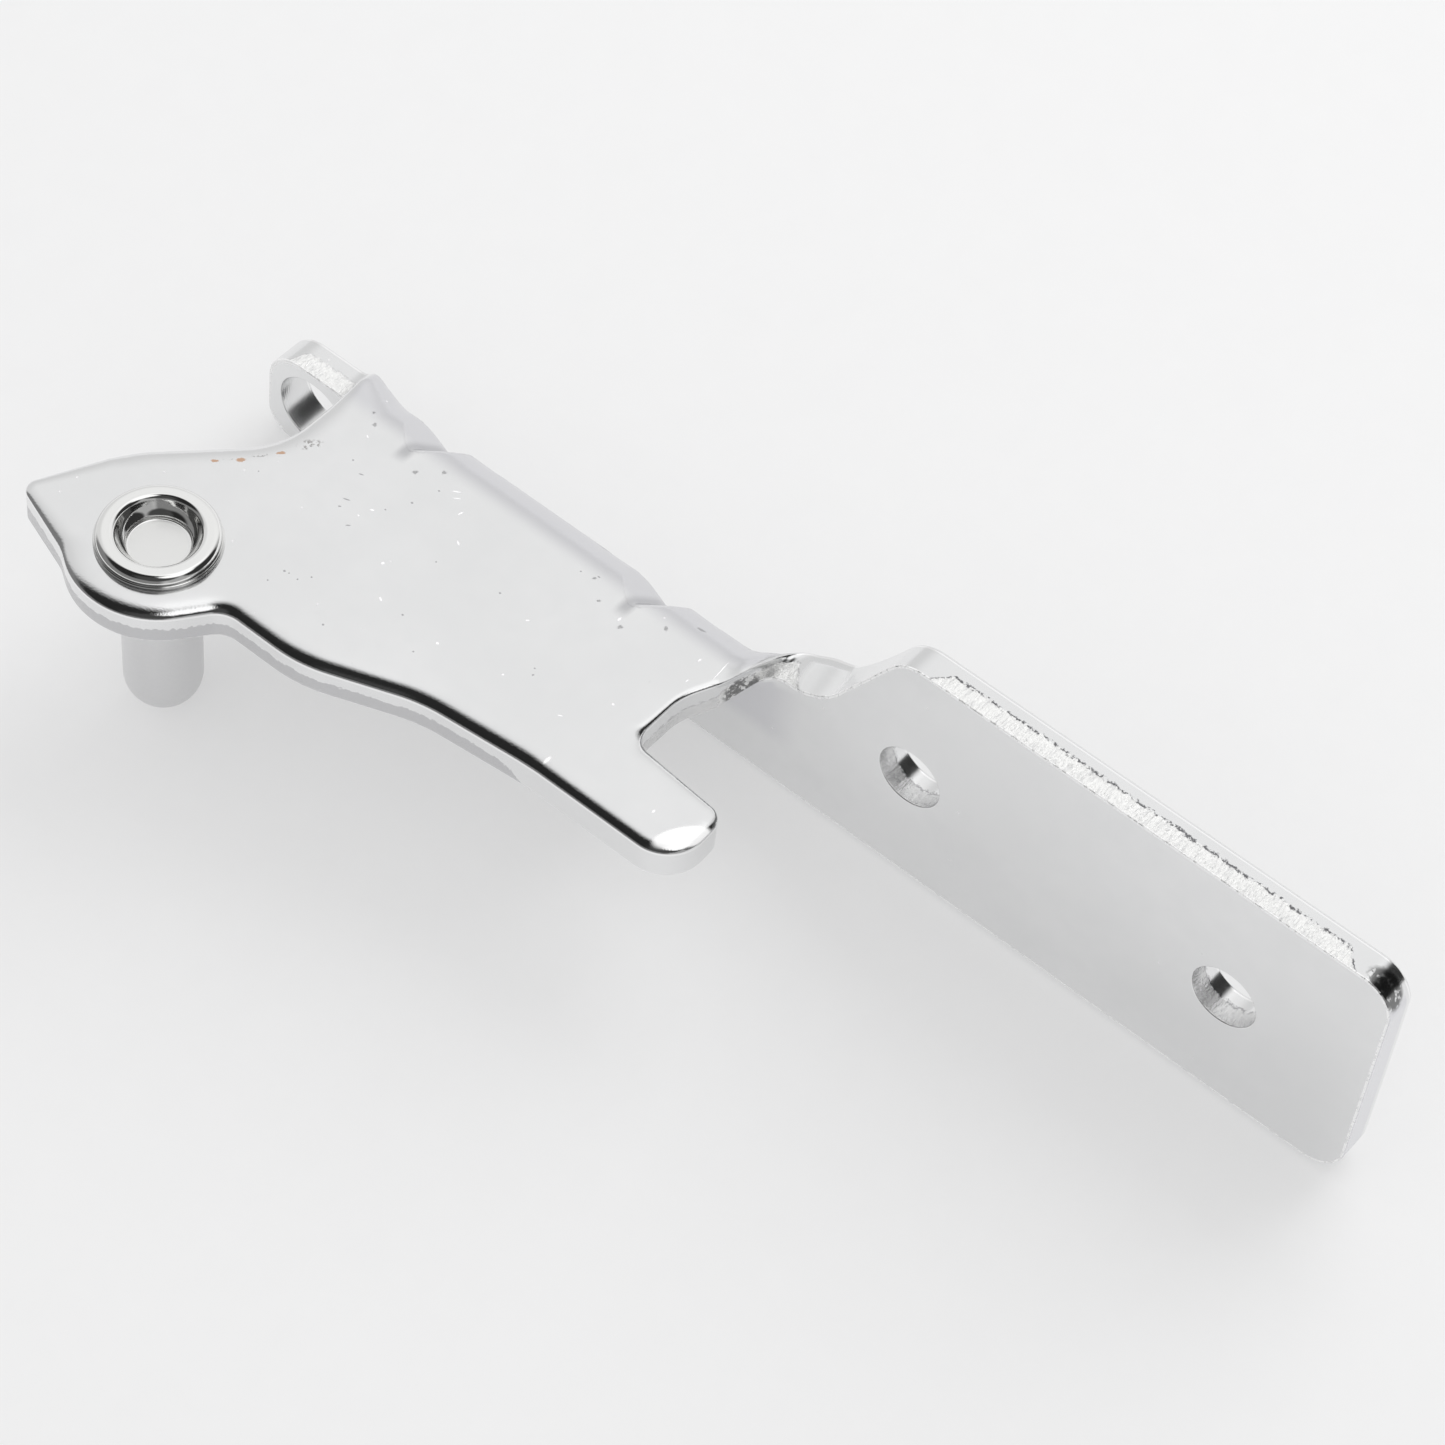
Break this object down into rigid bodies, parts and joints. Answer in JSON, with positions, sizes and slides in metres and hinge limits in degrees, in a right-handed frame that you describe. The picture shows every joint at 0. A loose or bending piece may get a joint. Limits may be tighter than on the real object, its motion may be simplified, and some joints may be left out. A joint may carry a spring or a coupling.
{
  "type": "fridge door hinge",
  "caption": "Folded steel hinge bracket for a fridge door: flat arm with a riveted round-ended pin, a short finger, and an upright bolt flange with a small bored ear.",
  "frame": {"origin": "on the hinge pin's axis, at its shoulder against the arm's underside", "axes": "+Z along the pin axis towards its riveted head, +X along the fold towards the bolt holes, +Y towards the back of the flange"},
  "size_m": [0.1366, 0.0405, 0.0383],
  "materials": {
    "plated_sheet": "bright zinc plate, satin on the faces, sheared edges left rough",
    "plated_pin": "turned and plated, satin shank, bright rolled head"
  },
  "bodies": {
    "root": {"bracket": "plated_sheet", "hinge_pin": "plated_pin"}
  },
  "joints": []
}
